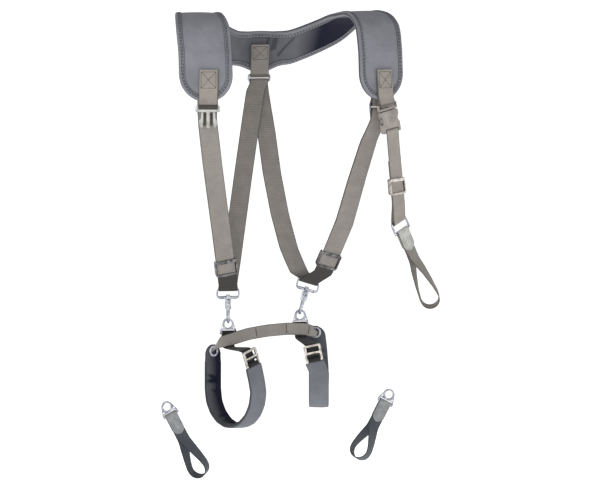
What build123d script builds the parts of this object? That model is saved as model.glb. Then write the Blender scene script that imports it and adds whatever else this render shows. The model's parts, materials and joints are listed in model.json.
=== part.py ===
from build123d import *
import math
import os

# Padded shoulder harness. Units are millimetres. +X is to the right of someone facing the chest,
# +Y runs from the chest to the back and +Z is up. Left and right in the names are as that person
# sees them. The origin is midway between the pad's two shoulder bridges, at the shoulders' height.

# ---- Driving dimensions -------------------------------------------------------------------------
WEBBING = 25.0  # width of the main straps
NARROW_WEBBING = 16.0  # width of the sling's and the connectors' straps
ACCESSORY_WEBBING = 20.0
WEB_T = 1.4  # thickness of one layer of webbing
LAYER = WEB_T + 0.3  # centre to centre of two layers lying on each other
BAR = 2.6  # thickness of the metal bars that webbing turns round
WRAP = 2.9  # radius of the webbing's centre line round such a bar
TURN_STEP = 30  # degrees between two sections of a webbing turn

PAD_T = 6.0
BINDING_T = 6.6
BINDING_W = 8.0
LOBE_HALF_W = 35.0
LOBE_TOE = math.radians(22)  # how far each front lobe is turned outwards
LOBE_TIP = (117.0, -82.0, -108.0)

TAB_SHIFT = 3.0  # the buckle tabs sit a little off the lobe's middle
HANGER_Y = 6.6  # buckle bar in front of the lobe's middle, ring bar behind it
BUCKLE_BAR_Z = -5.0
RIGHT_BUCKLE_TILT = 12.0
FRONT_RING_Z = -8.5
RING_W = 31.0
RING_H = 10.4
BACK_RING = (-2.0, 89.0, -84.0)

SLIDER_H = 21.5
SLIDER_RAIL = 1.8
SLIDER_TOP = 4.4  # the bars that lie on the webbing, above and below its middle bar
SLIDER_FOOT = 2.6
SLIDER_CORNER = 2.8

SLING_LINE_Y = 8.0
LEFT_HOOK_BEND = (-65.0, SLING_LINE_Y, -393.75)
RIGHT_HOOK_BEND = (32.0, SLING_LINE_Y, -383.75)
RIGHT_HOOK_TILT = 17.0
HOOK_WIRE = 1.5
HOOK_BEND = 4.2
EYE_BAR_Z = 39.7  # the strap bar of the swivel eye, above the hook's bend centre

EYE_HOLE = 5.0
EYE_RIM = 7.5
EYE_RING_T = 3.0
EYE_RING_BAR_Z = -11.9  # the eye ring's strap bar, below the centre of its hole
HOLE_BELOW_BEND = 6.25

BAND_W = 26.0
BAND_T = 6.0
BAND_END_T = 2.4
SLIDER_ABOVE_BAND = 11.8  # from the top of a padded band to the middle of its slider
EYELET_HOLE = 4.5
EYELET_FLANGE = 7.5

CONNECTOR_TAB_W = 18.0
CONNECTOR_TAB_L = 27.0
TAB_T = 1.4
LEFT_CONNECTOR = (-149.0, 0.0, -506.0)
RIGHT_CONNECTOR = (149.5, 0.0, -495.0)
CONNECTOR_TILT = 28.0

os.makedirs("parts", exist_ok=True)


# ---- Helpers ------------------------------------------------------------------------------------
def save(name, shape):
    export_step(shape, f"parts/{name}.step")


def ribbon(stations):
    """A strap through (point, across, width, thickness) sections, straight from one to the next."""
    points = [Vector(*point) for point, _, _, _ in stations]
    wires = []
    for i, (_, across, width, thickness) in enumerate(stations):
        along = points[min(i + 1, len(points) - 1)] - points[max(i - 1, 0)]
        side = Vector(*across).normalized()
        half_side = side * (width / 2)
        half_thick = side.cross(along).normalized() * (thickness / 2)
        corners = [(-1, -1), (1, -1), (1, 1), (-1, 1)]
        wires.append(
            Wire.make_polygon(
                [points[i] + half_side * s + half_thick * t for s, t in corners], close=True
            )
        )
    return Solid.make_loft(wires, ruled=True)


def strap(points, across, width=WEBBING, thickness=WEB_T):
    """Ribbon stations with one direction across for all points."""
    return [(tuple(point), tuple(across), width, thickness) for point in points]


def turn(place, centre, start, over, width=WEBBING, first=0, last=180, radius=WRAP):
    """Stations of a turn round a bar along X, in the frame place, from the side start, over the side over."""
    out = []
    across = direction(place, (1, 0, 0))
    for angle in range(first, last + 1, TURN_STEP):
        c = math.cos(math.radians(angle)) * radius
        s = math.sin(math.radians(angle)) * radius
        point = at(place, [centre[k] + start[k] * c + over[k] * s for k in range(3)])
        out.append((tuple(point), tuple(across), width, WEB_T))
    return out


def at(place, point):
    """A point of the frame place, in the harness frame."""
    return (place * Location(tuple(point))).position


def direction(place, vector):
    return at(place, vector) - at(place, (0, 0, 0))


def box(x, y, z):
    """A box from three (low, high) pairs."""
    middle = [(low + high) / 2 for low, high in (x, y, z)]
    return Pos(*middle) * Box(x[1] - x[0], y[1] - y[0], z[1] - z[0])


def plate(sketch, thickness):
    """A sketch drawn in X and Z, given its thickness along Y."""
    return extrude(Plane.XZ * sketch, thickness / 2, both=True)


def between(a, b, t):
    return tuple(p + (q - p) * t for p, q in zip(a, b))


def catmull_rom(a, b, c, d, t):
    """The value t of the way from b to c on a curve through a, b, c and d."""
    square = 2 * a - 5 * b + 4 * c - d
    cube = 3 * b - a - 3 * c + d
    return 0.5 * (2 * b + (c - a) * t + square * t**2 + cube * t**3)


def smooth(points, steps, before):
    """Points on a Catmull-Rom curve through the given ones, which arrives from the point before."""
    padded = [before] + list(points) + [points[-1]]
    out = []
    for i in range(len(points) - 1):
        p0, p1, p2, p3 = padded[i : i + 4]
        for step in range(steps):
            t = step / steps
            out.append(tuple(catmull_rom(*values, t) for values in zip(p0, p1, p2, p3)))
    return out + [tuple(points[-1])]


# ---- Shoulder yoke ------------------------------------------------------------------------------
TOE_C = math.cos(LOBE_TOE)
TOE_S = math.sin(LOBE_TOE)
# Centre of the pad, direction to its neck edge, and half its width, from the middle of the back
# over the right shoulder to where the front lobe runs straight.
YOKE_SECTIONS = [
    (0, 91, -50, 0, 0, 1, 27.5),
    (24, 90, -46, -0.12, -0.26, 0.93, 24.0),
    (45, 84, -42, -0.29, -0.54, 0.79, 26.5),
    (85, 58, -22, -0.60, -0.57, 0.56, 27.5),
    (103, 20, -2, -0.92, -0.38, 0.06, 27.5),
    (112, -25, 2, -0.93, -0.37, 0, 31.5),
    (116.5, -60, -12, -TOE_C, -TOE_S, 0, LOBE_HALF_W),
    (117, -75, -45, -TOE_C, -TOE_S, 0, LOBE_HALF_W),
]
TIP_ANGLES = (90, 70, 52, 36, 22, 10)


def yoke_half(margin, thickness):
    """Stations from the middle of the back to the right tip, with the outline moved in by margin."""
    stations = []
    x, y, z, ax, ay, az, half = YOKE_SECTIONS[1]
    mirrored = (-x, y, z, -ax, ay, az, half)
    for x, y, z, ax, ay, az, half in smooth(YOKE_SECTIONS, 4, mirrored):
        stations.append(((x, y, z), (ax, ay, az), 2 * (half - margin), thickness))
    radius = LOBE_HALF_W - margin
    foot = YOKE_SECTIONS[-1][:3]
    length = math.dist(foot, LOBE_TIP)
    for angle in TIP_ANGLES:
        rise = LOBE_HALF_W - radius * math.cos(math.radians(angle))
        half = radius * math.sin(math.radians(angle))
        point = between(LOBE_TIP, foot, rise / length)
        stations.append((point, (-TOE_C, -TOE_S, 0), 2 * half, thickness))
    return stations


def yoke_solid(margin, thickness):
    right = yoke_half(margin, thickness)
    left = [((-p[0], p[1], p[2]), (-a[0], a[1], a[2]), w, t) for p, a, w, t in right[:0:-1]]
    return ribbon(left + right)


def make_yoke():
    """Pad and binding, each parted at the middle of the back so that collision follows their bends."""
    pad = yoke_solid(BINDING_W + 0.02, PAD_T)
    binding = yoke_solid(0, BINDING_T) - yoke_solid(BINDING_W, 2 * PAD_T)
    for name, reach in (("left", (-200, 0)), ("right", (0, 200))):
        half = box(reach, (-200, 200), (-200, 100))
        save(name + "_yoke_pad", pad & half)
        save(name + "_yoke_binding", binding & half)


def lobe(side):
    """Frame at a lobe's tip: X across it, Y inwards, Z up. side is -1 for the left, 1 for the right."""
    x_dir = (TOE_C, side * TOE_S, 0)
    return Plane(origin=(side * LOBE_TIP[0], LOBE_TIP[1], LOBE_TIP[2]), x_dir=x_dir, z_dir=(0, 0, 1)).location


LOBE_SLOPE = 7.0 / 63.0  # the lobe leans inwards by this much as it rises
SKIN = BINDING_T / 2 + 0.3 + WEB_T / 2  # first layer of webbing, from the lobe's middle


def buckle_frame(side):
    tilt = -RIGHT_BUCKLE_TILT if side > 0 else 0
    return lobe(side) * Location((TAB_SHIFT, -HANGER_Y, BUCKLE_BAR_Z), (0, tilt, 0))


def front_ring_frame(side):
    return lobe(side) * Location((0, HANGER_Y, FRONT_RING_Z))


def make_buckle_tab(side, name, top):
    place = lobe(side)

    def layer(offset, heights):
        points = [at(place, (TAB_SHIFT, LOBE_SLOPE * h - offset, h)) for h in heights]
        return strap(points, direction(place, (1, 0, 0)))

    outer = layer(SKIN + LAYER, (top, top / 2, 3.5))
    bend = turn(buckle_frame(side), (0, 0, 0), (0, -1, 0), (0, 0, -1))
    inner = layer(SKIN, (2.5, 12, top - 8))
    save(name, ribbon(outer + bend + inner))


def make_ring_tab(side, name):
    place = lobe(side)

    def layer(offset, heights):
        points = [at(place, (0, LOBE_SLOPE * h + offset, h)) for h in heights]
        return strap(points, direction(place, (1, 0, 0)))

    outer = layer(SKIN + LAYER, (28, 12, 3.5))
    bar = (0, 0, (RING_H - BAR) / 2)
    bend = turn(front_ring_frame(side), bar, (0, 1, 0), (0, 0, -1))
    inner = layer(SKIN, (2.5, 12, 20))
    save(name, ribbon(outer + bend + inner))


def rectangular_ring(width, height):
    opening = RectangleRounded(width - 2 * BAR, height - 2 * BAR, 1)
    return plate(RectangleRounded(width, height, 3) - opening, BAR)


def back_ring_frame():
    return Location(BACK_RING)


def make_back_tab():
    place = back_ring_frame()
    bar_z = (RING_H - BAR) / 2
    front_y = YOKE_SECTIONS[0][1] - SKIN - LAYER
    heights = ((44, 3.2), (24, 1.2), (12, 0))
    front = strap([(BACK_RING[0], front_y - lean, BACK_RING[2] + h) for h, lean in heights], (1, 0, 0))
    bend = turn(place, (0, 0, bar_z), (0, -1, 0), (0, 0, -1), first=0, last=90)
    tail = bend[-1][0]
    under = strap([(tail[0], tail[1] + 1.5, tail[2])], (1, 0, 0))
    save("back_tab", ribbon(front + bend + under))


# ---- Main straps --------------------------------------------------------------------------------
def hook_frame(side):
    """Frame at the centre of a hook's bend, Z up its shank, the hook's plane in Y and Z."""
    if side < 0:
        return Location(LEFT_HOOK_BEND)
    return Location(RIGHT_HOOK_BEND, (0, RIGHT_HOOK_TILT, 0))


def unit_between(a, b):
    return (Vector(*b) - Vector(*a)).normalized()


# The slider's straight stretch on each front strap: where it starts and ends, and the slider's place on it.
LEFT_RUN = ((-83.0, -20.6, -268.0), (-66.6, 3.4, -346.0), 0.74)
RIGHT_RUN = ((82.0, -26.0, -268.0), (60.0, 0.0, -335.0), 0.74)


def run_frame(run):
    """Frame of the slider on a straight run: X across, Z up the strap, Y towards the back."""
    top, bottom, share = run
    up = unit_between(bottom, top)
    across = (Vector(1, 0, 0) - up * up.X).normalized()
    return Plane(origin=between(top, bottom, share), x_dir=across, z_dir=up).location


def front_strap(side, run, upper, tail_below):
    """Stations of a front strap: its free layer up to the front ring, round it and down to the eye."""
    top, bottom, _ = run
    frame = run_frame(run)
    across = direction(frame, (1, 0, 0))
    outward = direction(frame, (0, -1, 0)) * LAYER
    ring = front_ring_frame(side)
    ring_across = direction(ring, (1, 0, 0))
    free = at(frame, (0, -LAYER, -tail_below))
    low = [free, Vector(*top) + outward]
    ring_bar = (0, 0, -(RING_H - BAR) / 2)
    bend = turn(ring, ring_bar, (0, -1, 0), (0, 0, 1))
    layer_out = []
    layer_in = []
    for point, blend in upper:
        mixed = across * (1 - blend) + ring_across * blend
        layer_out.append(((Vector(*point) + outward), mixed, WEBBING, WEB_T))
        layer_in.append((tuple(point), mixed, WEBBING, WEB_T))
    up = strap(low, across) + layer_out
    down = layer_in[::-1] + strap([top, bottom], across)
    return up + bend + down


def back_turn(first, last):
    """Part of the turn over the back ring's lower bar, from its front to its rear."""
    bar = (0, 0, -(RING_H - BAR) / 2)
    return turn(back_ring_frame(), bar, (0, -1, 0), (0, 0, 1), first=first, last=last)


def make_main_straps():
    left_bar = (0, 0, EYE_BAR_Z)
    left_upper = [((-101.0, -50.0, -190.0), 0.5), ((-114.0, -74.6, -132.0), 1.0)]
    left_front = front_strap(-1, LEFT_RUN, left_upper, 15)
    left_eye = turn(hook_frame(-1), left_bar, (0, -1, 0), (0, 0, -1))
    left_back = strap([(-58, 17, -320), (-34, 49, -210), (-8, 83.5, -100)], (1, 0, 0))
    over = back_turn(0, 60)
    save("left_main_strap", ribbon(left_front + left_eye + left_back + over))

    upper = [((93.0, -48.0, -210.0), 0.4), ((105.0, -63.0, -160.0), 0.8), ((114.0, -74.6, -132.0), 1.0)]
    right_front = front_strap(1, RIGHT_RUN, upper, 16)
    right_eye = turn(hook_frame(1), left_bar, (0, -1, 0), (0, 0, -1))
    slack = [(33, 14.5, -335), (22, 27, -304), (13, 40, -259), (6, 53, -207), (2.5, 68, -155), (-1, 88, -104)]
    right_back = strap(slack, (1, 0, 0))
    rest = back_turn(90, 180)[::-1]
    save("right_main_strap", ribbon(right_front + right_eye + right_back + rest))


def make_ladder_slider(name, place, webbing, layers):
    """A slider whose outer bars lie on the webbing and whose middle bar lies behind it."""
    inner = webbing / 2 + 0.5
    outer = inner + SLIDER_RAIL
    front = -(WEB_T / 2 + LAYER * (layers - 1) + 0.3)
    back = WEB_T / 2 + 0.3
    height = SLIDER_H / 2
    y_all = (front - 1.6, back + 1.4)
    body = box((-outer, -inner), y_all, (-height, height)) + box((inner, outer), y_all, (-height, height))
    for low, high in ((-height, -height + SLIDER_FOOT), (height - SLIDER_TOP, height)):
        body += box((-outer, outer), (front - 1.6, front), (low, high))
    body += box((-outer, outer), (back, back + 1.4), (-2.4, 2.4))
    body &= plate(RectangleRounded(2 * outer, SLIDER_H, SLIDER_CORNER), 20)
    save(name, place * body)


# ---- Snap hooks ---------------------------------------------------------------------------------
COLLAR = (26.0, 30.2)
GATE_PIVOT = (4.2, 16.0)
PIN_R = 0.8
STEM_R = 1.9


def make_hook_eye(side, name):
    frame = RectangleRounded(31.0, 15.0, 5.5) - Pos(0, 0.8) * RectangleRounded(26.6, 8.2, 1.0)
    eye = Pos(0, 0, 33.5) * plate(frame, BAR)
    low, high = COLLAR
    eye += Pos(0, 0, (low + high) / 2) * Cylinder(4.0, high - low)
    eye -= Pos(0, 0, (low + high) / 2) * Cylinder(STEM_R + 0.05, high - low + 2)
    save(name, hook_frame(side) * eye)


def make_hook(side, name):
    place = hook_frame(side)
    bend = Line((0, -HOOK_BEND, 16), (0, -HOOK_BEND, 0))
    bend += ThreePointArc((0, -HOOK_BEND, 0), (0, 0, -HOOK_BEND), (0, HOOK_BEND, 0))
    bend += Line((0, HOOK_BEND, 0), (0, HOOK_BEND, 2.6))
    wire = sweep(Plane(origin=(0, -HOOK_BEND, 16), z_dir=(0, 0, -1)) * Circle(HOOK_WIRE), path=bend)
    block = box((-3.2, 3.2), (-5.9, 6.0), (13.0, 25.6))
    block = fillet(block.edges().filter_by(Axis.Z), 1.5)
    slot = box((-1.5, 1.5), (0.5, 7.0), (12.0, 18.6))
    pin_hole = Pos(0, GATE_PIVOT[0], GATE_PIVOT[1]) * Rot(0, 90, 0) * Cylinder(PIN_R, 8)
    stem = Pos(0, 0, 28.0) * Cylinder(STEM_R, 5.6) + Pos(0, 0, 31.4) * Cylinder(3.0, 1.5)
    save(name + "_body", place * (wire + block + stem - slot - pin_hole))
    pin = Pos(0, GATE_PIVOT[0], GATE_PIVOT[1]) * Rot(0, 90, 0) * Cylinder(PIN_R, 6.2)
    save(name + "_pin", place * pin)
    arm = box((-1.2, 1.2), (3.1, 5.3), (3.1, 16.0))
    knuckle = Pos(0, GATE_PIVOT[0], GATE_PIVOT[1]) * Rot(0, 90, 0) * Cylinder(1.8, 2.4)
    bore = Pos(0, GATE_PIVOT[0], GATE_PIVOT[1]) * Rot(0, 90, 0) * Cylinder(PIN_R + 0.05, 4)
    save(name + "_gate", place * (arm + knuckle - bore))
    save(name + "_spring", place * box((-1.0, 1.0), (0.55, 0.95), (13.2, 18.5)))


def eye_ring():
    """A D-shaped ring with a round eye above its strap slot. Origin at the eye's centre."""
    foot = EYE_RING_BAR_Z - BAR / 2
    corners = [(-7.4, 1.5), (7.4, 1.5), (11, foot + 4), (11, foot), (-11, foot), (-11, foot + 4)]
    skirt = Polygon(*corners, align=None)
    slot = Pos(0, EYE_RING_BAR_Z + BAR / 2 + 1.5) * Rectangle(17.2, 3.0)
    outline = Circle(EYE_RIM) + skirt - Circle(EYE_HOLE) - slot
    for x in (-7.6, 7.6):
        outline -= Pos(x, -5.2) * Circle(1.2)
    return plate(outline, EYE_RING_T)


def sling_ring_frame(side):
    bend = LEFT_HOOK_BEND if side < 0 else RIGHT_HOOK_BEND
    return Location((bend[0], bend[1], bend[2] - HOLE_BELOW_BEND))


# ---- Sling --------------------------------------------------------------------------------------
class Loop:
    """One padded loop: its plan centre, the direction across its band, its heights and how its ends lean."""

    def __init__(self, centre, across, near_top, bottom, far_top, lean, far_lean, tilt):
        self.centre = Vector(*centre)
        self.across = Vector(*across).normalized()
        self.along = Vector(0, 0, 1).cross(self.across)
        self.near_top = near_top
        self.bottom = bottom
        self.far_top = far_top
        self.lean = lean
        self.far_lean = far_lean
        self.tilt = math.radians(tilt)

    def point(self, b, z, a=0.0):
        spot = self.centre + self.along * b + self.across * a
        return (spot.X, spot.Y, z)

    def tilted(self, share):
        """The directions across and up the near branch where it has this share of its full tilt."""
        c, s = math.cos(self.tilt * share), math.sin(self.tilt * share)
        return self.across * c + Vector(0, 0, s), Vector(0, 0, c) - self.across * s


LOOP_HALF = 46.0
LEFT_LOOP = Loop((-55, 8, 0), (0.906, 0.423, 0), -452.6, -533.0, -429.0, -8.0, 0, 20)
RIGHT_LOOP = Loop((57, 8, 0), (0.966, -0.259, 0), -448.7, -508.0, -407.0, -5.0, -5.0, 12)


def band_stations(loop):
    """Down the near branch, round the bottom, and up the far branch to the flat eyelet end."""
    straight = loop.bottom + LOOP_HALF
    far = loop.far_top
    middle = (loop.near_top + straight) / 2
    rows = [((-LOOP_HALF, loop.near_top, loop.lean), loop.tilted(1)[0], BAND_T)]
    rows.append(((-LOOP_HALF - 0.5, middle, loop.lean * 0.45), loop.tilted(0.5)[0], BAND_T))
    for angle in range(0, 181, 20):
        turned = math.radians(angle)
        point = (-LOOP_HALF * math.cos(turned), straight - LOOP_HALF * math.sin(turned), 0)
        rows.append((point, loop.across, BAND_T))
    for below, share, thickness in ((24, 0.5, BAND_T), (17, 0.7, BAND_END_T), (0, 1, BAND_END_T)):
        rows.append(((LOOP_HALF, far - below, loop.far_lean * share), loop.across, thickness))
    return [(loop.point(b, z, a), tuple(across), BAND_W, t) for (b, z, a), across, t in rows]


def eyelet_frame(loop):
    """Frame of the eyelet: Z through the band, away from the near branch."""
    centre = loop.point(LOOP_HALF, loop.far_top - 8.5, loop.far_lean * 0.85)
    return Plane(origin=centre, x_dir=loop.across, z_dir=loop.along).location


def make_sling_band(name, loop):
    band = ribbon(band_stations(loop))
    hole = eyelet_frame(loop) * Cylinder(5.3, 12)
    save(name + "_sling_band", band - hole)
    barrel = Cylinder(5.2, BAND_END_T + 0.2)
    eyelet = barrel
    for z in (-1, 1):
        eyelet += Pos(0, 0, z * (BAND_END_T / 2 + 0.1 + 0.45)) * Cylinder(EYELET_FLANGE, 0.9)
    eyelet -= Cylinder(EYELET_HOLE, 12)
    save(name + "_eyelet", eyelet_frame(loop) * eyelet)


def sling_slider_frame(loop):
    """Frame of the slider above the near branch, tilted with it: X across the band, Z up, Y inwards."""
    across, up = loop.tilted(1)
    top = Vector(*loop.point(-LOOP_HALF, loop.near_top, loop.lean))
    return Plane(origin=top + up * SLIDER_ABOVE_BAND, x_dir=across, z_dir=up).location


def make_sling_slider(name, loop):
    frame = RectangleRounded(23.0, 22.0, 2.0)
    for z in (-5.0, 5.0):
        frame -= Pos(0, z) * RectangleRounded(17.4, 6.6, 0.8)
    save(name + "_sling_slider", sling_slider_frame(loop) * plate(frame, BAR))
    # The core webbing of the band turns round the slider's lowest bar.
    place = sling_slider_frame(loop)
    bar = (0, 0, -9.65)
    inner = turn(place, bar, (0, 1, 0), (0, 0, 1), width=NARROW_WEBBING, last=180)
    ends = [at(place, (0, y, 0.4 - SLIDER_ABOVE_BAND)) for y in (2.2, -2.2)]
    across = direction(place, (1, 0, 0))
    loop_end = strap(ends[:1], across, NARROW_WEBBING) + inner + strap(ends[1:], across, NARROW_WEBBING)
    save(name + "_sling_core", ribbon(loop_end))


def make_adjust_strap(side, name, loop, drop_z):
    """Black webbing from the eye ring, down and forwards, and round the slider's middle bar."""
    ring = sling_ring_frame(side)
    bar = (0, 0, EYE_RING_BAR_Z)
    x, y, z = at(ring, bar)
    tail = strap([(x, y + 3.4, z - 14)], (1, 0, 0), NARROW_WEBBING)
    over = turn(ring, bar, (0, 1, 0), (0, 0, 1), width=NARROW_WEBBING)
    slider = sling_slider_frame(loop)
    across = direction(slider, (1, 0, 0))
    drop = strap([(x, y - 3.4, z - drop_z)], (1, 0, 0), NARROW_WEBBING)
    entry = at(slider, (0, 5.5, 10.0))
    middle = turn(slider, (0, 0, 0), (0, 1, 0), (0, 0, -1), width=NARROW_WEBBING, last=150)
    run_in = strap([entry], across, NARROW_WEBBING)
    save(name + "_adjust_strap", ribbon(tail + over + drop + run_in + middle))


def make_crossbar():
    """Webbing between the two eyelets, in front of the rings, gathered where it passes through an eyelet."""
    stations = []
    ends = []
    for loop in (LEFT_LOOP, RIGHT_LOOP):
        place = eyelet_frame(loop)
        ends.append([at(place, (0, 0, z)) for z in (7.0, 0.0, -7.0)])
    for point in ends[0]:
        stations.append((point, LEFT_LOOP.across, 6.4, 2.2))
    stations += [
        ((-80.5, 24, -433.5), (0.6, -0.15, 0.75), 11, 1.8),
        ((-78.4, 0.0, -423.5), (0.1, -0.1, 0.95), 15, WEB_T),
        ((-60, -1.8, -418.5), (-0.25, 0, 0.97), NARROW_WEBBING, WEB_T),
        ((-40, -1, -413), (-0.2, 0, 0.97), NARROW_WEBBING, WEB_T),
        ((-15, -1.5, -409), (-0.12, 0, 0.99), NARROW_WEBBING, WEB_T),
        ((12, -1.5, -407), (-0.04, 0, 1), NARROW_WEBBING, WEB_T),
        ((36, 0.3, -407.8), (0.07, 0, 1), NARROW_WEBBING, WEB_T),
        ((46, 6, -410.5), (0.22, 0, 0.98), 15, WEB_T),
        ((56, 26, -414), (-0.3, -0.1, 0.9), 11, 1.8),
    ]
    for point in ends[1][::-1]:
        stations.append((point, (-RIGHT_LOOP.across), 6.4, 2.2))
    save("crossbar_strap", ribbon(stations))


# ---- Side-release buckles -----------------------------------------------------------------------
PRONG_PIVOT = (7.6, -8.0)
MALE_T = 4.4


def make_male(name, place):
    frame = Pos(0, -3.1) * RectangleRounded(30.4, 8.8, 1.5) - Pos(0, -2.7) * Rectangle(26.8, 2.8)
    guide = Pos(0, -17.5) * RectangleRounded(4.2, 21.5, 2.0)
    body = plate(frame, BAR) + plate(guide, 2.6)
    body += box((-14.6, 14.6), (-MALE_T / 2, MALE_T / 2), (-7.3, -4.3))
    save(name + "_male", place * body)


def make_prong(name, place, side):
    """A springing side arm with its catch, hinged where it leaves the frame."""
    outer_side = [(9.0, -7.9), (9.6, -16.5), (12.2, -18.0), (12.2, -22.0), (9.6, -27.0)]
    inner_side = [(7.2, -27.0), (6.4, -20.0), (6.2, -7.9)]
    outline = Polygon(*outer_side, *inner_side, align=None)
    arm = plate(outline, 3.0)
    if side < 0:
        arm = mirror(arm, about=Plane.YZ)
    save(name, place * arm)


def make_female(name, place):
    """A housing open at its mouth and at both flanks, with the webbing slot at its foot."""
    body = box((-13.8, 13.8), (-3.7, 3.7), (-37.0, -8.2))
    body = fillet(body.edges().filter_by(Axis.Y), 1.5)
    body -= box((-10.8, 10.8), (-2.0, 2.0), (-30.0, -7.0))
    for side in (-1, 1):
        flank = sorted((side * 9.0, side * 15.0))
        body -= box(tuple(flank), (-2.0, 2.0), (-25.0, -16.0))
        body -= Pos(side * 17.6, 0, -19.8) * Rot(90, 0, 0) * Cylinder(6.0, 9)
    body -= box((-10.6, 10.6), (-5, 5), (-34.4, -31.4))
    for y in ((-5, -BAR / 2), (BAR / 2, 5)):
        body -= box((-10.6, 10.6), y, (-38.0, -33.0))
    save(name, place * body)


# ---- Accessory strap ----------------------------------------------------------------------------
ACCESSORY_RING_W = 27.0
ACCESSORY_RING_H = 18.0
ACCESSORY_RING_TILT = 27.0


def accessory_spot(x, z, y=0.0):
    """A point of the hanging accessory, from the buckle's bar, in the plane of the right lobe."""
    place = lobe(1) * Location((TAB_SHIFT, -HANGER_Y, BUCKLE_BAR_Z))
    return at(place, (x, y, z))


def accessory_ring_frame():
    centre = (TAB_SHIFT + 22.5, -HANGER_Y, BUCKLE_BAR_Z - 158.0)
    return lobe(1) * Location(centre, (0, -ACCESSORY_RING_TILT, 0))


ACCESSORY_RUN = ((13.0, -74.0), (19.3, -130.0))
ACCESSORY_SLIDER_SHARE = 0.58


def make_accessory():
    across = direction(lobe(1), (1, 0, 0))

    def layer(y, points):
        return strap([accessory_spot(x, z, y) for x, z in points], across, ACCESSORY_WEBBING)

    top, bottom = ACCESSORY_RUN
    path = [(10.0, -47.0), top, bottom]
    female_bar = (0, 0, -35.7)
    head = turn(buckle_frame(1), female_bar, (0, 1, 0), (0, 0, 1), width=ACCESSORY_WEBBING)
    ring = accessory_ring_frame()
    ring_bar = (0, 0, (ACCESSORY_RING_H - BAR) / 2)
    foot = turn(ring, ring_bar, (0, -1, 0), (0, 0, -1), width=ACCESSORY_WEBBING)
    front = layer(-LAYER / 2, path)
    back = layer(LAYER / 2, [bottom, top])
    save("accessory_strap", ribbon(head + front + foot + back))


def accessory_run_frame():
    (x0, z0), (x1, z1) = ACCESSORY_RUN
    share = ACCESSORY_SLIDER_SHARE
    lean = math.degrees(math.atan2(x1 - x0, z0 - z1))
    spot = (TAB_SHIFT + x0 + (x1 - x0) * share, -HANGER_Y, BUCKLE_BAR_Z + z0 + (z1 - z0) * share)
    return lobe(1) * Location(spot, (0, -lean, 0)) * Location((0, LAYER / 2, 0))


# ---- Loop connectors ----------------------------------------------------------------------------
LOOP_R = 12.0


def connector_tab(bar_width):
    """A tab folded over a bar along X at the origin, its two flaps hanging down."""
    reach = CONNECTOR_TAB_L
    widths = (bar_width, bar_width, bar_width * 0.94, bar_width * 0.66)
    depths = (-5.0, -reach + 8, -reach + 3.5, -reach)
    front = [((0, -2.7, z), (1, 0, 0), w, TAB_T) for z, w in zip(depths, widths)]
    fold = []
    for angle in range(0, 181, TURN_STEP):
        c = math.cos(math.radians(angle)) * WRAP
        s = math.sin(math.radians(angle)) * WRAP
        fold.append(((0, -c, s), (1, 0, 0), bar_width, TAB_T))
    rear = [((0, 2.7, z), (1, 0, 0), w, TAB_T) for z, w in zip(depths, widths)]
    return ribbon(front[::-1] + fold + rear)


def connector_loop(length):
    """Webbing whose two ends lie flat in the tab, then turn and part into a loop."""
    centre_z = -(length - LOOP_R)
    begin = -CONNECTOR_TAB_L
    down = [(-5.0, 0, LAYER / 2), (begin, 0, LAYER / 2)]
    for share, twist, part in ((0.2, 14, 2.4), (0.45, 30, 7.0), (0.74, 44, 10.4)):
        down.append((begin + (centre_z - begin) * share, twist, part))
    legs = {}
    for sign in (-1, 1):
        legs[sign] = []
        for z, twist, part in down:
            turned = math.radians(twist)
            point = (-math.sin(turned) * part * sign, math.cos(turned) * part * sign, z)
            legs[sign].append((point, (math.cos(turned), math.sin(turned), 0), NARROW_WEBBING, WEB_T))
    turned = math.radians(52)
    bottom = []
    for angle in range(0, 181, 30):
        part = -LOOP_R * math.cos(math.radians(angle))
        z = centre_z - LOOP_R * math.sin(math.radians(angle))
        point = (-math.sin(turned) * part, math.cos(turned) * part, z)
        bottom.append((point, (math.cos(turned), math.sin(turned), 0), NARROW_WEBBING, WEB_T))
    return ribbon(legs[-1] + bottom + legs[1][::-1])


def make_loose_connector(name, spot, tilt, length):
    place = Location(spot, (0, tilt, 0))
    save(name + "_ring", place * eye_ring())
    bar = place * Location((0, 0, EYE_RING_BAR_Z))
    save(name + "_tab", bar * connector_tab(NARROW_WEBBING))
    save(name + "_loop", bar * connector_loop(length))


# ---- Build --------------------------------------------------------------------------------------
make_yoke()
make_buckle_tab(-1, "left_buckle_tab", 42.0)
make_buckle_tab(1, "right_buckle_tab", 40.0)
make_back_tab()
save("back_ring", back_ring_frame() * rectangular_ring(RING_W, RING_H))
make_main_straps()
make_ladder_slider("left_slider", run_frame(LEFT_RUN), WEBBING, 2)
make_ladder_slider("right_slider", run_frame(RIGHT_RUN), WEBBING, 2)
for side, name, loop, drop_z in ((-1, "left", LEFT_LOOP, 17.6), (1, "right", RIGHT_LOOP, 16.5)):
    make_ring_tab(side, name + "_ring_tab")
    save(name + "_front_ring", front_ring_frame(side) * rectangular_ring(RING_W, RING_H))
    make_hook_eye(side, name + "_hook_eye")
    make_hook(side, name + "_hook")
    save(name + "_sling_ring", sling_ring_frame(side) * eye_ring())
    make_sling_band(name, loop)
    make_sling_slider(name, loop)
    make_adjust_strap(side, name, loop, drop_z)
    make_male(name + "_buckle", buckle_frame(side))
    for end, arm in ((-1, "left"), (1, "right")):
        make_prong(f"{name}_buckle_{arm}_prong", buckle_frame(side), end)
make_crossbar()
make_female("right_buckle_female", buckle_frame(1))
make_accessory()
make_ladder_slider("accessory_slider", accessory_run_frame(), ACCESSORY_WEBBING, 2)
save("accessory_ring", accessory_ring_frame() * rectangular_ring(ACCESSORY_RING_W, ACCESSORY_RING_H))
accessory_bar = accessory_ring_frame() * Location((0, 0, -(ACCESSORY_RING_H - BAR) / 2))
save("accessory_tab", accessory_bar * connector_tab(CONNECTOR_TAB_W))
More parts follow.
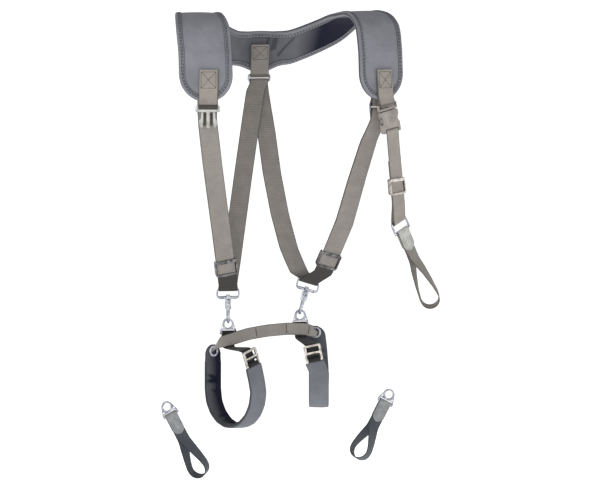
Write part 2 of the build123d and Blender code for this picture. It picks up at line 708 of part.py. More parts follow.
save("accessory_loop", accessory_bar * connector_loop(111.0))
make_loose_connector("left_connector", LEFT_CONNECTOR, -CONNECTOR_TILT, 90.0)
make_loose_connector("right_connector", RIGHT_CONNECTOR, CONNECTOR_TILT, 81.0)
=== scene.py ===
import json
import math
import random
from collections import defaultdict
from types import SimpleNamespace

import bmesh
import bpy
import numpy as np
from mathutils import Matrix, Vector


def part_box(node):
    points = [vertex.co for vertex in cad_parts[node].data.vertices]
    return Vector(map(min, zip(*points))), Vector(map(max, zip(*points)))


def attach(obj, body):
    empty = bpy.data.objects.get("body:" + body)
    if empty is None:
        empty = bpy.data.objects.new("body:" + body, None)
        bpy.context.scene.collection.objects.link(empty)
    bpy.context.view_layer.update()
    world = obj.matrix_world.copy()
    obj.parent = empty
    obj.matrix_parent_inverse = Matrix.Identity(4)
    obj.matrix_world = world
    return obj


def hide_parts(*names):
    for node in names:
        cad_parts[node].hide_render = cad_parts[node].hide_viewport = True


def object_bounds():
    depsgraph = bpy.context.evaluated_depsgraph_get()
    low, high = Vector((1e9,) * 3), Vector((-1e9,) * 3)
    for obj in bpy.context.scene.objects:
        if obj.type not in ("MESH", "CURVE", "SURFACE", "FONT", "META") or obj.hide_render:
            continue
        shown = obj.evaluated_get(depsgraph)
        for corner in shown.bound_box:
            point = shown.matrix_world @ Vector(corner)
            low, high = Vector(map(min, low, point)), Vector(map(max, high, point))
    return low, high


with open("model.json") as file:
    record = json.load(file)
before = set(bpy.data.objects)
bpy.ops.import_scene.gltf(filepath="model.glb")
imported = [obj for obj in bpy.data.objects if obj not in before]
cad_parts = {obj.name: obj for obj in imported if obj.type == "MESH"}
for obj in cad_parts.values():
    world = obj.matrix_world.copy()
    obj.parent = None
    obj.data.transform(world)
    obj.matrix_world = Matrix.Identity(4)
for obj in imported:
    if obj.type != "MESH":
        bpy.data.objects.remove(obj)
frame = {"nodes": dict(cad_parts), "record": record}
cad_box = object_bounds()
bodies = frame["record"]["behaviour"]["bodies"]
BODY_OF = {node: body for body, nodes in bodies.items() for node in nodes}
SLOT_OF = {row["node"]: row["material_slot"] for row in frame["record"]["subparts"]}
JOINTS = {joint["name"]: joint for joint in frame["record"]["behaviour"]["joints"]}
MM = 0.001


# ---- Materials ----------------------------------------------------------------------------------
class Graph:
    """A material under construction: one Principled shader and short calls for the nodes before it."""

    def __init__(self, name):
        self.material = bpy.data.materials.new(name)
        self.material.use_nodes = True
        self.nodes = self.material.node_tree.nodes
        self.links = self.material.node_tree.links
        self.nodes.clear()
        self.shader = self.nodes.new("ShaderNodeBsdfPrincipled")
        out = self.nodes.new("ShaderNodeOutputMaterial")
        self.links.new(self.shader.outputs[0], out.inputs["Surface"])

    def put(self, value, socket):
        """Links a socket, or sets a plain value."""
        if isinstance(value, bpy.types.NodeSocket):
            self.links.new(value, socket)
        else:
            socket.default_value = value

    def math(self, operation, a, b=0.0, clamp=False):
        node = self.nodes.new("ShaderNodeMath")
        node.operation = operation
        node.use_clamp = clamp
        self.put(a, node.inputs[0])
        self.put(b, node.inputs[1])
        return node.outputs[0]

    def uv(self):
        node = self.nodes.new("ShaderNodeUVMap")
        node.uv_map = "cloth"
        split = self.nodes.new("ShaderNodeSeparateXYZ")
        self.links.new(node.outputs[0], split.inputs[0])
        return split.outputs[0], split.outputs[1]

    def place(self):
        return self.nodes.new("ShaderNodeTexCoord").outputs["Object"]

    def attribute(self, name):
        node = self.nodes.new("ShaderNodeAttribute")
        node.attribute_name = name
        return node.outputs["Fac"]

    def noise(self, vector, scale, detail=2.0, roughness=0.5, stretch=None):
        if stretch is not None:
            mapping = self.nodes.new("ShaderNodeMapping")
            mapping.inputs["Scale"].default_value = stretch
            self.links.new(vector, mapping.inputs["Vector"])
            vector = mapping.outputs[0]
        node = self.nodes.new("ShaderNodeTexNoise")
        self.links.new(vector, node.inputs["Vector"])
        node.inputs["Scale"].default_value = scale
        node.inputs["Detail"].default_value = detail
        node.inputs["Roughness"].default_value = roughness
        return node.outputs["Fac"]

    def cells(self, vector, scale, feature="F1"):
        node = self.nodes.new("ShaderNodeTexVoronoi")
        node.feature = feature
        self.links.new(vector, node.inputs["Vector"])
        node.inputs["Scale"].default_value = scale
        return node.outputs["Distance"]

    def remap(self, value, low, high, to_low, to_high):
        node = self.nodes.new("ShaderNodeMapRange")
        self.put(value, node.inputs["Value"])
        for key, number in (("From Min", low), ("From Max", high), ("To Min", to_low), ("To Max", to_high)):
            node.inputs[key].default_value = number
        return node.outputs[0]

    def blend(self, factor, a, b):
        node = self.nodes.new("ShaderNodeMix")
        node.data_type = "RGBA"
        self.put(factor, node.inputs[0])
        self.put(a, node.inputs[6])
        self.put(b, node.inputs[7])
        return node.outputs[2]

    def scale_colour(self, colour, factor):
        node = self.nodes.new("ShaderNodeVectorMath")
        node.operation = "SCALE"
        self.put(colour, node.inputs[0])
        self.put(factor, node.inputs["Scale"])
        return node.outputs[0]

    def bump(self, height, distance, strength=1.0, after=None):
        node = self.nodes.new("ShaderNodeBump")
        self.put(height, node.inputs["Height"])
        node.inputs["Distance"].default_value = distance
        node.inputs["Strength"].default_value = strength
        if after is not None:
            self.links.new(after, node.inputs["Normal"])
        return node.outputs[0]

    def done(self, **sockets):
        for name, value in sockets.items():
            self.put(value, self.shader.inputs[name.replace("_", " ").title().replace("Ior", "IOR")])
        return self.material


def linear(*srgb):
    """A linear RGBA colour from 0 to 255 display values."""
    return tuple(((v / 255 + 0.055) / 1.055) ** 2.4 for v in srgb) + (1.0,)


def ribs(g, coordinate, pitch):
    """A rounded ridge pattern with this pitch, 0 in the grooves and 1 on the ridges."""
    return g.math("ABSOLUTE", g.math("SINE", g.math("MULTIPLY", coordinate, math.pi / pitch)))


def webbing_material(name, light, dark, rib=2.4 * MM, yarn=1.05 * MM, slant=0.0):
    """Woven strap: cross ribs with yarns along it, soiled, uneven dye, darker towards its edges, and painted
    shadow where its mesh asks for it.
    """
    g = Graph(name)
    u, v = g.uv()
    spot = g.place()
    wobble = g.math("MULTIPLY", g.math("SUBTRACT", g.noise(spot, 260, 2), 0.5), 0.5 * MM)
    v = g.math("ADD", g.math("ADD", v, wobble), g.math("MULTIPLY", u, slant))
    broad = ribs(g, v, rib)
    fine = ribs(g, v, rib / 2)
    yarns = ribs(g, u, yarn)
    height = g.math("ADD", g.math("MULTIPLY", broad, 0.5), g.math("MULTIPLY", fine, 0.3))
    height = g.math("ADD", height, g.math("MULTIPLY", yarns, 0.25))
    fuzz = g.noise(spot, 2600, 3, 0.7)
    height = g.math("ADD", height, g.math("MULTIPLY", fuzz, 0.25))
    mottled = g.noise(spot, 75, 4, 0.6)
    tone = g.math("ADD", g.math("MULTIPLY", height, 0.62), g.math("MULTIPLY", mottled, 0.55), True)
    colour = g.blend(tone, dark, light)
    # Darker within about a millimetre of the strap's edges.
    edge_darkening = g.remap(g.attribute("edge"), 0.3, 1.3, 0.36, 1.0)
    colour = g.scale_colour(colour, edge_darkening)
    # Painted shadow: down to 0.17 of the colour where the mesh's painted shade attribute is 1, under sliders,
    # at buckle slots and between prongs.
    colour = g.scale_colour(colour, g.remap(g.attribute("painted_shade"), 0, 1, 1.0, 0.17))
    normal = g.bump(height, 0.35 * MM, 0.9)
    rough = g.remap(mottled, 0.3, 0.7, 0.68, 0.86)
    return g.done(
        base_color=colour, roughness=rough, normal=normal, sheen_weight=0.12, specular_ior_level=0.35,
    )


def neoprene_material(name, light, dark, knit=1.1 * MM):
    """Jersey-faced foam: fine knit columns, a felted grain and soft cloudy tone, with painted shade near its
    edges and on shaded faces.
    """
    g = Graph(name)
    u, v = g.uv()
    spot = g.place()
    wobble = g.math("MULTIPLY", g.math("SUBTRACT", g.noise(spot, 400, 2), 0.5), 0.8 * MM)
    columns = ribs(g, g.math("ADD", u, wobble), knit)
    courses = ribs(g, g.math("ADD", v, wobble), knit * 0.8)
    grain = g.noise(spot, 1500, 3, 0.75)
    height = g.math("ADD", g.math("MULTIPLY", columns, 0.4), g.math("MULTIPLY", courses, 0.3))
    height = g.math("ADD", height, g.math("MULTIPLY", grain, 0.9))
    clouds = g.noise(spot, 38, 4, 0.62)
    tone = g.math("ADD", g.math("MULTIPLY", grain, 0.62), g.math("MULTIPLY", clouds, 0.5))
    tone = g.math("ADD", g.math("MULTIPLY", columns, 0.1), tone)
    tone = g.remap(tone, 0.32, 0.88, 0, 1)
    colour = g.blend(tone, dark, light)
    # Painted shade near an edge: at rims, in the crevice where the binding meets the pad and in the binding's
    # stitch grooves.
    edge = g.remap(g.attribute("edge"), 0.0, 1.2, 0.3, 1.0)
    colour = g.scale_colour(colour, edge)
    # Painted shade: up to half as bright, then on to a near-black navy for the deepest shadow.
    painted_shade = g.attribute("painted_shade")
    colour = g.blend(g.remap(painted_shade, 0, 0.5, 0, 1), colour, g.scale_colour(colour, 0.5))
    colour = g.blend(g.remap(painted_shade, 0.5, 1, 0, 1), colour, linear(18, 20, 38))
    normal = g.bump(height, 0.3 * MM, 0.85)
    rough = g.remap(clouds, 0.3, 0.7, 0.78, 0.95)
    return g.done(
        base_color=colour, roughness=rough, normal=normal, sheen_weight=0.04, specular_ior_level=0.1,
    )


def metal_material(name, bright, worn, rough=(0.1, 0.28)):
    """Plated metal with handling marks, a little cloudiness and fine scratches."""
    g = Graph(name)
    spot = g.place()
    clouds = g.noise(spot, 190, 4, 0.6)
    scratches = g.noise(spot, 900, 2, 0.5, (1.0, 1.0, 14.0))
    tone = g.remap(clouds, 0.35, 0.68, 0, 1)
    colour = g.blend(tone, worn, bright)
    roughness = g.remap(clouds, 0.3, 0.7, rough[0], rough[1])
    roughness = g.math("ADD", roughness, g.math("MULTIPLY", scratches, 0.12))
    normal = g.bump(scratches, 0.05 * MM, 0.5, g.bump(clouds, 0.25 * MM, 0.35))
    return g.done(base_color=colour, metallic=1.0, roughness=roughness, normal=normal)


def plastic_material(name, light, dark, rough=(0.3, 0.5), through=0.0):
    """Moulded acetal: faint flow marks, a fine spark-eroded grain and duller rubbed spots."""
    g = Graph(name)
    spot = g.place()
    flow = g.noise(spot, 120, 3, 0.6)
    grain = g.noise(spot, 3200, 2, 0.6)
    colour = g.blend(g.remap(flow, 0.3, 0.7, 0, 1), dark, light)
    normal = g.bump(grain, 0.06 * MM, 0.5, g.bump(flow, 0.3 * MM, 0.25))
    roughness = g.remap(flow, 0.3, 0.7, rough[0], rough[1])
    return g.done(
        base_color=colour, roughness=roughness, normal=normal, subsurface_weight=through,
        subsurface_radius=(0.004, 0.004, 0.004), coat_weight=0.15, coat_roughness=0.2,
    )


def leather_material(name, light, dark):
    """Grained leather with creases between the pebbles and rubbed edges."""
    g = Graph(name)
    spot = g.place()
    pebbles = g.cells(spot, 1250)
    creases = g.cells(spot, 620, "DISTANCE_TO_EDGE")
    clouds = g.noise(spot, 130, 4, 0.6)
    height = g.math("ADD", g.math("MULTIPLY", pebbles, -0.6), g.math("MULTIPLY", creases, 0.9))
    tone = g.math("ADD", g.math("MULTIPLY", clouds, 0.9), g.math("MULTIPLY", creases, 0.6))
    colour = g.blend(g.remap(tone, 0.35, 0.85, 0, 1), dark, light)
    edge = g.remap(g.attribute("edge"), 0.0, 0.9, 0.68, 1.0)
    colour = g.scale_colour(colour, edge)
    normal = g.bump(height, 0.25 * MM, 0.7)
    rough = g.remap(clouds, 0.3, 0.7, 0.42, 0.62)
    return g.done(base_color=colour, roughness=rough, normal=normal, specular_ior_level=0.45)


def thread_material(name, light, dark):
    """Twisted polyester thread with a soft shine."""
    g = Graph(name)
    spot = g.place()
    twist = g.noise(spot, 1900, 2, 0.5)
    colour = g.blend(g.remap(twist, 0.3, 0.7, 0, 1), dark, light)
    return g.done(base_color=colour, roughness=g.remap(twist, 0.3, 0.7, 0.45, 0.7),
                  normal=g.bump(twist, 0.1 * MM, 0.7), sheen_weight=0.2)


MATERIALS = {
    "neoprene": neoprene_material("neoprene_grey", linear(147, 148, 154), linear(106, 107, 114)),
    "binding": neoprene_material("binding_grey", linear(145, 146, 152), linear(102, 103, 110), 0.9 * MM),
    # A darker copy of the yoke's neoprene: painted shade for the sling bands.
    "band": neoprene_material("band_grey_shaded", linear(124, 126, 133), linear(86, 88, 95)),
    "webbing": webbing_material("webbing_warm_grey", linear(143, 138, 132), linear(72, 68, 64)),
    "twill": webbing_material(
        "webbing_twill", linear(164, 158, 150), linear(78, 73, 68), 2.3 * MM, 1.5 * MM, 0.9,
    ),
    "dark_webbing": webbing_material("webbing_charcoal", linear(76, 81, 88), linear(26, 29, 34), 1.8 * MM),
    "black_webbing": webbing_material("webbing_black", linear(38, 37, 38), linear(9, 9, 10), 1.8 * MM),
    "chrome": metal_material("nickel_plate", (0.52, 0.53, 0.57, 1), (0.16, 0.17, 0.21, 1)),
    "spring_steel": metal_material("spring_strip", (0.6, 0.6, 0.6, 1), (0.4, 0.4, 0.4, 1), (0.3, 0.45)),
    "dark_slider": metal_material("gunmetal_coat", linear(140, 138, 138), linear(60, 58, 62), (0.22, 0.4)),
    "bright_slider": metal_material(
        "satin_metal", linear(206, 201, 193), linear(128, 122, 116), (0.22, 0.4),
    ),
    "pale_plastic": plastic_material(
        "pale_acetal", linear(186, 186, 181), linear(146, 147, 143), (0.2, 0.4), 0.15,
    ),
    "tan_plastic": plastic_material("warm_grey_acetal", linear(152, 146, 138), linear(116, 110, 104)),
    "leather": leather_material("grained_leather", linear(158, 160, 160), linear(112, 114, 116)),
    "pale_leather": leather_material("pale_leather", linear(204, 204, 196), linear(158, 160, 155)),
    "dark_thread": thread_material("thread_dark", linear(40, 40, 48), linear(14, 14, 20)),
    "leather_thread": thread_material("thread_pale", linear(128, 128, 124), linear(84, 84, 82)),
    "warm_thread": thread_material("thread_warm", linear(84, 76, 66), linear(34, 30, 26)),
}


# ---- Reading the CAD frame ----------------------------------------------------------------------
def clean_mesh(node):
    """The CAD node's mesh with shared corners."""
    bm = bmesh.new()
    bm.from_mesh(frame["nodes"][node].data)
    bmesh.ops.remove_doubles(bm, verts=bm.verts, dist=0.002 * MM)
    return bm


def follow(links, ring):
    """The rings of a ribbon from one end ring to the other, along its sharp edges."""
    rings = [ring]
    before = set()
    while True:
        used = before | set(rings[-1])
        onward = [[v for v in links[corner] if v not in used] for corner in rings[-1]]
        if any(len(found) != 1 for found in onward):
            return rings
        before = set(rings[-1])
        rings.append([found[0] for found in onward])


def sections(node, rear_first=False):
    """The cross sections of a CAD ribbon, from its front end to its rear end: (count, 4 corners, 3)."""
    bm = clean_mesh(node)
    links = defaultdict(list)
    for edge in bm.edges:
        if len(edge.link_faces) == 2 and edge.calc_face_angle() > math.radians(50):
            a, b = edge.verts
            links[a].append(b)
            links[b].append(a)
    ends = [v for v in links if len(links[v]) == 3]
    best = []
    for a in ends:
        for b in links[a]:
            for c in links[b]:
                for d in links[c]:
                    ring = len({a, b, c, d}) == 4 and a in links[d]
                    if ring and all(len(links[v]) == 3 for v in (b, c, d)):
                        rings = follow(links, [a, b, c, d])
                        if len(rings) > len(best):
                            best = rings
    if len(best) < 2:
        raise ValueError(f"{node} isn't a ribbon")
    found = np.array([[list(v.co) for v in ring] for ring in best])
    bm.free()
    sides = np.linalg.norm(found[:, 1:3] - found[:, 0:2], axis=2).mean(0)
    if sides[0] < sides[1]:
        found = np.roll(found, -1, axis=1)
    if (found[0, :, 1].mean() > found[-1, :, 1].mean()) != rear_first:
        found = found[::-1]
    return found


def unit(v):
    return v / np.maximum(np.linalg.norm(v, axis=-1, keepdims=True), 1e-12)


ROUNDING = 9 * MM  # reach of the rounding where a ribbon bends


class Band:
    """A strap's centre line with its directions across and through, sampled finely."""

    def __init__(self, node, step=4.0 * MM, rear_first=False):
        corner = sections(node, rear_first)
        centre = corner.mean(1)
        across = corner[:, 1] - corner[:, 0]
        through = corner[:, 3] - corner[:, 0]
        width = np.linalg.norm(across, axis=1)
        thick = np.linalg.norm(through, axis=1)
        across, through = unit(across), unit(through)
        seg = centre[1:] - centre[:-1]
        length = np.linalg.norm(seg, axis=1)
        seg = unit(seg)
        tangent = [seg[0]]
        for i in range(1, len(centre) - 1):
            tangent.append(seg[i - 1] * length[i] + seg[i] * length[i - 1])
        tangent = unit(np.array(tangent + [seg[-1]]))
        rows = []
        for i in range(len(seg)):
            # Long stretches keep to the ribbon's straight line and only their ends are rounded.
            before = length[i - 1] if i else length[i]
            after = length[i + 1] if i + 1 < len(length) else length[i]
            m0 = tangent[i] * min(length[i], 1.5 * before, ROUNDING)
            m1 = tangent[i + 1] * min(length[i], 1.5 * after, ROUNDING)
            bend = math.acos(max(-1.0, min(1.0, float(tangent[i] @ tangent[i + 1]))))
            count = max(1, math.ceil(length[i] / step), math.ceil(bend / math.radians(9)))
            for k in range(count + (i == len(seg) - 1)):
                t = k / count
                h = (2 * t**3 - 3 * t**2 + 1, t**3 - 2 * t**2 + t, 3 * t**2 - 2 * t**3, t**3 - t**2)
                point = centre[i] * h[0] + m0 * h[1] + centre[i + 1] * h[2] + m1 * h[3]
                mixed = [a[i] * (1 - t) + a[i + 1] * t for a in (across, through, width, thick)]
                rows.append((point, *mixed))
        self.centre, self.across, self.through, self.width, self.thick = (np.array(c) for c in zip(*rows))
        self.across, self.through = unit(self.across), unit(self.through)
        steps = np.linalg.norm(self.centre[1:] - self.centre[:-1], axis=1)
        self.along = np.concatenate([[0.0], np.cumsum(steps)])
        self.length = float(self.along[-1])

    def at(self, v, u, lift):
        """A surface point v along, u across and lift off the middle, with the outward direction."""
        def mixed(a):
            if a.ndim == 1:
                return np.interp(v, self.along, a)
            return np.array([np.interp(v, self.along, a[:, k]) for k in range(3)])
        through = unit(mixed(self.through))
        sign = 1.0 if lift > 0 else -1.0
        point = mixed(self.centre) + unit(mixed(self.across)) * u + through * lift
        return point, through * sign


# ---- Mesh helpers -------------------------------------------------------------------------------
def piece(name, mesh, node, material, replaced=(), smooth_angle=None):
    """A finished object with this material on the body of a CAD node, hiding the nodes it replaces."""
    obj = bpy.data.objects.new(name, mesh)
    bpy.context.scene.collection.objects.link(obj)
    mesh.materials.clear()
    mesh.materials.append(MATERIALS[material])
    mesh.shade_smooth()
    if smooth_angle is not None:
        mesh.set_sharp_from_angle(angle=math.radians(smooth_angle))
    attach(obj, BODY_OF[node])
    SLOT_OF[node]
    if replaced:
        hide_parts(*replaced)
    return obj


def grid_mesh(name, points, uv, edge=None, closed=False, painted_shade=None):
    """A tube of rings, points (rings, around, 3), with a UV map in metres, an edge distance in mm and an
    optional painted shade amount.
    """
    rings, around = points.shape[:2]
    index = np.arange(rings * around).reshape(rings, around)
    faces, corners = [], []
    last = rings if closed else rings - 1
    for i in range(last):
        j = (i + 1) % rings
        for k in range(around):
            m = (k + 1) % around
            faces.append((index[i, k], index[i, m], index[j, m], index[j, k]))
            v_next = uv[j, k, 1] if j else uv[i, k, 1] + (uv[i, k, 1] - uv[i - 1, k, 1])
            corners += [uv[i, k], uv[i, m], (uv[j, m, 0], v_next), (uv[j, k, 0], v_next)]
    if not closed:
        for row in (0, rings - 1):
            order = list(index[row]) if row else list(index[row][::-1])
            faces.append(tuple(order))
            corners += [uv[row, k % around] for k in (range(around) if row else range(around - 1, -1, -1))]
    mesh = bpy.data.meshes.new(name)
    mesh.from_pydata(points.reshape(-1, 3).tolist(), [], [[int(a) for a in f] for f in faces])
    layer = mesh.uv_layers.new(name="cloth")
    layer.data.foreach_set("uv", np.array([c for pair in corners for c in pair], np.float32))
    attribute = mesh.attributes.new("edge", "FLOAT", "POINT")
    values = np.full(rings * around, 10.0) if edge is None else edge.reshape(-1)
    attribute.data.foreach_set("value", values.astype(np.float32))
    # The amount of painted shade at each point, read by the materials.
    if painted_shade is not None:
        attribute = mesh.attributes.new("painted_shade", "FLOAT", "POINT")
        attribute.data.foreach_set("value", painted_shade.reshape(-1).astype(np.float32))
    bm = bmesh.new()
    bm.from_mesh(mesh)
    bmesh.ops.recalc_face_normals(bm, faces=bm.faces)
    bm.to_mesh(mesh)
    bm.free()
    return mesh


WEB_PROFILE = ((0.0, 0.0), (0.12, 0.55), (0.4, 0.9), (0.9, 1.0), (1.7, 0.98), (2.3, 0.8), (3.1, 0.96))


def strap_rings(band, profile, shrink=0.96, relief=None, ends=None):
    """Rings of a strap. profile gives (distance in from the edge in mm, share of half the thickness)."""
    rows, uvs, edges = [], [], []
    for i in range(len(band.centre)):
        half = band.width[i] / 2
        narrow = 1.0 if ends is None else ends(band.along[i], band.length, half)
        inset = np.array([d * MM for d, _ in profile])
        share = np.array([s for _, s in profile])
        middle = np.linspace(inset[-1], half, 5)[1:]
        inset = np.concatenate([inset, middle])
        share = np.concatenate([share, np.ones(len(middle))])
        u = np.concatenate([-(half - inset), (half - inset)[:-1][::-1]])
        s = np.concatenate([share, share[:-1][::-1]])
        depth = np.concatenate([inset, inset[:-1][::-1]])
        around_u = np.concatenate([u, u[1:-1][::-1]])
        around_s = np.concatenate([s, -s[1:-1][::-1]])
        around_d = np.concatenate([depth, depth[1:-1][::-1]])
        lift = around_s * band.thick[i] / 2 * shrink
        if relief is not None:
            lift = lift + relief(band.along[i], around_u, around_d, np.sign(around_s))
        spread = np.outer(around_u * narrow, band.across[i])
        rows.append(band.centre[i] + spread + np.outer(lift, band.through[i]))
        uvs.append(np.stack([around_u, np.full(len(around_u), band.along[i])], 1))
        edges.append(around_d / MM)
    return np.array(rows), np.array(uvs), np.array(edges)


def shadow_under(band, slider):
    """The shadow on a strap below its slider, fading out a little way past the strap's lowest point."""
    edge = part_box(slider)[0][2] + 5 * MM
    foot = band.along[np.argmin(band.centre[:, 2])]
    below = np.clip((edge - band.centre[:, 2]) / (2 * MM), 0, 1)
    return (below * np.interp(band.along, (foot + 2 * MM, foot + 26 * MM), (1, 0)))[:, None]


def shadow_above_fold(band, reach):
    """The shadow on a tab where it goes into its buckle, this many mm up from its fold."""
    rise = band.centre[:, 2] - band.centre[:, 2].min()
    return np.clip((reach * MM - rise) / MM, 0, 1)[:, None]


def shadow_behind(band, node, u):
    """The shadow on a strap's front run between the prongs that lie over it."""
    low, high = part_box(node)
    z = band.centre[:, 2]
    inside = np.clip((z - low[2] - 1 * MM) / MM, 0, 1) * np.clip((high[2] - z) / MM, 0, 1)
    inside = inside * (band.along < 0.3 * band.length)
    return 0.85 * inside[:, None] * np.clip((9.5 * MM - np.abs(u)) / (0.8 * MM), 0, 1)


def webbing(node, material=None, rear_first=False, shadow=None):
    """A woven strap in place of a CAD ribbon, darkened by shadow(band, across). Returns its sampled band."""
    band = Band(node, 1.5 * MM if shadow else 4.0 * MM, rear_first)
    points, uv, edge = strap_rings(band, WEB_PROFILE)
    shade = None if shadow is None else shadow(band, uv[:, :, 0]) * np.ones(edge.shape)
    mesh = grid_mesh("woven_" + node, points, uv, edge, painted_shade=shade)
    piece("woven_" + node, mesh, node, material or SLOT_OF[node], [node])
    return band


def hard(node, width, material=None, segments=3, angle=32, smooth=38):
    """A moulded or cast piece: the CAD node's shape with its edges rounded."""
    bm = clean_mesh(node)
    bmesh.ops.dissolve_limit(bm, angle_limit=math.radians(1.5), verts=bm.verts, edges=bm.edges)
    mesh = bpy.data.meshes.new("solid_" + node)
    bm.to_mesh(mesh)
    bm.free()
    source = bpy.data.objects.new("source", mesh)
    bpy.context.scene.collection.objects.link(source)
    bevel = source.modifiers.new("round", "BEVEL")
    bevel.width = width * MM
    bevel.segments = segments
    bevel.limit_method = "ANGLE"
    bevel.angle_limit = math.radians(angle)
    bpy.context.view_layer.update()
    graph = bpy.context.evaluated_depsgraph_get()
    rounded = bpy.data.meshes.new_from_object(source.evaluated_get(graph))
    bpy.data.objects.remove(source)
    return piece("solid_" + node, rounded, node, material or SLOT_OF[node], [node], smooth)


def stitches(name, lines, node, material, pitch=2.6, thread=0.27):
    """Rows of thread. Each line is a list of (point, outward); the thread dips under between stitches."""
    # Each ring of a stitch: place along it, rise in mm and share of the thread's radius.
    half = ((0.34, 0.06, 0.95), (0.5, -0.22, 0.55))
    rings = [(-s, lift, size) for s, lift, size in half[::-1]] + [(0.0, 0.2, 1.0)] + list(half)
    sides = 6
    verts, faces = [], []
    for line in lines:
        points = np.array([p for p, _ in line])
        normals = np.array([n for _, n in line])
        gaps = np.linalg.norm(points[1:] - points[:-1], axis=1)
        along = np.concatenate([[0.0], np.cumsum(gaps)])

        def sample(values, v):
            return np.array([np.interp(v, along, values[:, c]) for c in range(3)])

        count = max(1, int(along[-1] / (pitch * MM)))
        for k in range(count):
            mid = (k + 0.5) * along[-1] / count
            span = along[-1] / count * 0.8
            ends = [sample(points, mid + s * span) for s in (-0.5, 0.5)]
            centre = (ends[0] + ends[1]) / 2
            out = unit(sample(normals, mid))
            ahead = unit(ends[1] - ends[0])
            side = np.cross(ahead, out)
            base = len(verts)
            for s, lift, size in rings:
                for a in range(sides):
                    turn = 2 * math.pi * a / sides
                    radius = thread * size * MM
                    offset = side * math.cos(turn) * radius + out * (math.sin(turn) * radius + lift * MM)
                    verts.append(centre + ahead * s * span + offset)
            for r in range(len(rings) - 1):
                for a in range(sides):
                    b = (a + 1) % sides
                    row = base + r * sides
                    faces.append((row + a, row + b, row + sides + b, row + sides + a))
            last = base + (len(rings) - 1) * sides
            faces.append(tuple(base + a for a in reversed(range(sides))))
            faces.append(tuple(last + a for a in range(sides)))
    mesh = bpy.data.meshes.new(name)
    mesh.from_pydata([list(v) for v in verts], [], faces)
    mesh.validate()
    return piece(name, mesh, node, material)


def seam(band, side, corners, step=2.0):
    """A stitch line on one face of a band through corners given as (along mm, across mm)."""
    line = []
    for (v0, u0), (v1, u1) in zip(corners[:-1], corners[1:]):
        count = max(1, math.ceil(math.hypot(v1 - v0, u1 - u0) / step))
        for k in range(count + 1):
            t = k / count
            v, u = (v0 + (v1 - v0) * t) * MM, (u0 + (u1 - u0) * t) * MM
            half = float(np.interp(v, band.along, band.thick)) / 2
            line.append(band.at(v, u, side * half * 0.98))
    return line


def box_stitch(band, node, facing, low, high, half=9.6):
    """The box with a cross that sews a tab down, low to high mm along it, on the side facing this Y."""
    side = 1 if band.through[0, 1] * facing > 0 else -1
    box = [(low, -half), (low, half), (high, half), (high, -half), (low, -half)]
    lines = [seam(band, side, list(pair)) for pair in zip(box[:-1], box[1:])]
    lines.append(seam(band, side, [(low, -half), (high, half)]))
    lines.append(seam(band, side, [(low, half), (high, -half)]))
    return stitches(node + "_stitches", lines, node, "warm_thread", 2.6, 0.36)


# ---- Shoulder yoke ------------------------------------------------------------------------------
TOE = math.radians(22)
LOBE_R = 35.0
# Middle of the pad, direction to the neck edge and half the width, from the middle of the back over
# one shoulder to where its front lobe runs straight, in mm; the other side is the mirror image.
YOKE_LINE = (
    (0, 91, -50, 0, 0, 1, 27.5),
    (24, 90, -46, -0.12, -0.26, 0.93, 24.0),
    (45, 84, -42, -0.29, -0.54, 0.79, 26.5),
    (85, 58, -22, -0.60, -0.57, 0.56, 27.5),
    (103, 20, -2, -0.92, -0.38, 0.06, 27.5),
    (112, -25, 2, -0.93, -0.37, 0, 31.5),
    (116.5, -60, -12, -math.cos(TOE), -math.sin(TOE), 0, LOBE_R),
    (117, -75, -45, -math.cos(TOE), -math.sin(TOE), 0, LOBE_R),
)
LOBE_TIP = np.array([117.0, -82.0, -108.0])
MIRROR = np.array([-1.0, 1.0, 1.0])


def yoke_line():
    """Fine rows (centre, across, half width) from the middle of the back to the lobe's straight end."""
    rows = np.array(YOKE_LINE)
    first = rows[1] * np.array([-1, 1, 1, -1, 1, 1, 1])
    padded = np.vstack([first, rows, rows[-1]])
    out = []
    for i in range(len(rows) - 1):
        a, b, c, d = padded[i:i + 4]
        for t in np.linspace(0, 1, 14, endpoint=False):
            out.append(0.5 * (2*b + (c-a)*t + (2*a - 5*b + 4*c - d)*t**2 + (3*b - a - 3*c + d)*t**3))
    out = np.array(out + [rows[-1]])
    foot = rows[-1]
    down = unit(LOBE_TIP - foot[:3])
    straight = np.linalg.norm(LOBE_TIP - foot[:3]) - LOBE_R
    for t in np.linspace(0, 1, 7)[1:]:
        out = np.vstack([out, np.concatenate([foot[:3] + down * straight * t, foot[3:]])])
    return out, down


class Yoke:
    """Spokes round the outline: edge point, inward direction, outer normal and depth to the middle."""

    def __init__(self):
        rows, down = yoke_line()
        centre, across, half = rows[:, :3], unit(rows[:, 3:6]), rows[:, 6]
        ahead = unit(np.gradient(centre, axis=0))
        normal = unit(np.cross(across, ahead))
        if normal[0, 1] < 0:
            normal = -normal
        hub, lobe_across = centre[-1], across[-1]
        tip = []
        for angle in np.linspace(0, math.pi, 30)[1:-1]:
            out = lobe_across * math.cos(angle) + down * math.sin(angle)
            tip.append((hub + out * LOBE_R, -out, normal[-1], LOBE_R))
        inner = [(c + a * h, -a, n, h) for c, a, n, h in zip(centre, across, normal, half)]
        outer = [(c - a * h, a, n, h) for c, a, n, h in zip(centre, across, normal, half)]
        right = inner + tip + outer[::-1]
        left = [(p * MIRROR, d * MIRROR, n * MIRROR, h) for p, d, n, h in right[1:-1]][::-1]
        spokes = right + left
        self.edge, self.inward, self.normal = (np.array([s[k] for s in spokes]) for k in range(3))
        self.depth = np.array([s[3] for s in spokes])
        gaps = np.linalg.norm(np.roll(self.edge, -1, axis=0) - self.edge, axis=1)
        self.round = np.concatenate([[0], np.cumsum(gaps)[:-1]])

    def point(self, i, d, lift):
        """Spoke i, d mm in from the edge, lifted off the pad's middle surface."""
        return self.edge[i] + self.inward[i] * min(d, self.depth[i]) + self.normal[i] * lift


